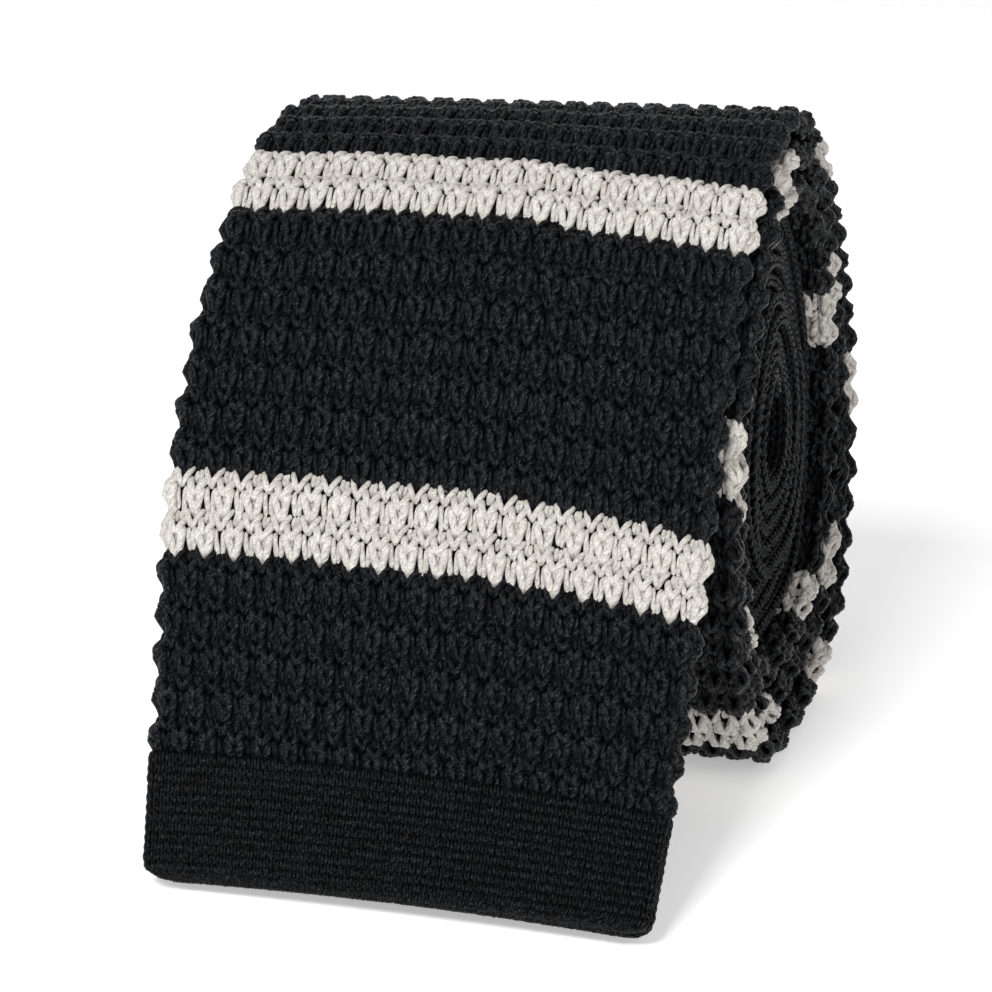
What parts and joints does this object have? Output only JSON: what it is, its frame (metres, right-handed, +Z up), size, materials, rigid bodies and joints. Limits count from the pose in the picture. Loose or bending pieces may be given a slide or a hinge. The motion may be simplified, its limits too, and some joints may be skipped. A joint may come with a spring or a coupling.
{
  "type": "necktie",
  "caption": "Square-ended knitted necktie, black with off-white cross stripes, rolled up with its wide end hanging down the front to the surface it stands on.",
  "frame": {"origin": "bottom centre of the whole rolled tie, on the surface it stands on", "axes": "X across the tie's width (the roll's axis), +Y from the hanging wide end to the back of the roll, +Z up"},
  "size_m": [0.0582, 0.102, 0.0705],
  "materials": {
    "black_knit": "matte tuck knit of soft twisted yarn",
    "cream_knit": "matte tuck knit of soft twisted yarn",
    "plain_knit": "matte fine plain knit",
    "seam_thread": "sewing thread",
    "keeper_tape": "woven tape",
    "label_cloth": "satin woven label, blank"
  },
  "bodies": {
    "roll": {"black_band_03": "black_knit", "black_band_04": "black_knit", "black_band_05": "black_knit", "black_band_06": "black_knit", "black_band_07": "black_knit", "black_band_08": "black_knit", "black_band_09": "black_knit", "black_band_10": "black_knit", "black_band_11": "black_knit", "black_band_12": "black_knit", "black_band_13": "black_knit", "black_band_14": "black_knit", "black_band_15": "black_knit", "black_band_16": "black_knit", "black_band_17": "black_knit", "cream_stripe_02": "cream_knit", "cream_stripe_03": "cream_knit", "cream_stripe_04": "cream_knit", "cream_stripe_05": "cream_knit", "cream_stripe_06": "cream_knit", "cream_stripe_07": "cream_knit", "cream_stripe_08": "cream_knit", "cream_stripe_09": "cream_knit", "cream_stripe_10": "cream_knit", "cream_stripe_11": "cream_knit", "cream_stripe_12": "cream_knit", "cream_stripe_13": "cream_knit", "cream_stripe_14": "cream_knit", "cream_stripe_15": "cream_knit", "cream_stripe_16": "cream_knit", "neck_knit": "plain_knit", "narrow_end_knit": "plain_knit", "hem_narrow_end": "plain_knit", "back_seam_rolled_part": "seam_thread", "bar_tack_narrow_end": "seam_thread", "keeper_loop": "keeper_tape", "blank_label": "label_cloth"},
    "free_end": {"hem_wide_end": "plain_knit", "black_band_01": "black_knit", "cream_stripe_01": "cream_knit", "black_band_02": "black_knit", "back_seam_free_end": "seam_thread", "bar_tack_wide_end": "seam_thread"}
  },
  "joints": [
    {"name": "free_end_lift", "type": "hinge", "parent": "roll", "child": "free_end", "pos_m": [0.0002, -0.00925, 0.06064], "axis": [-0.998, -0.0437, 0.0449], "range_deg": [0, 90]}
  ]
}
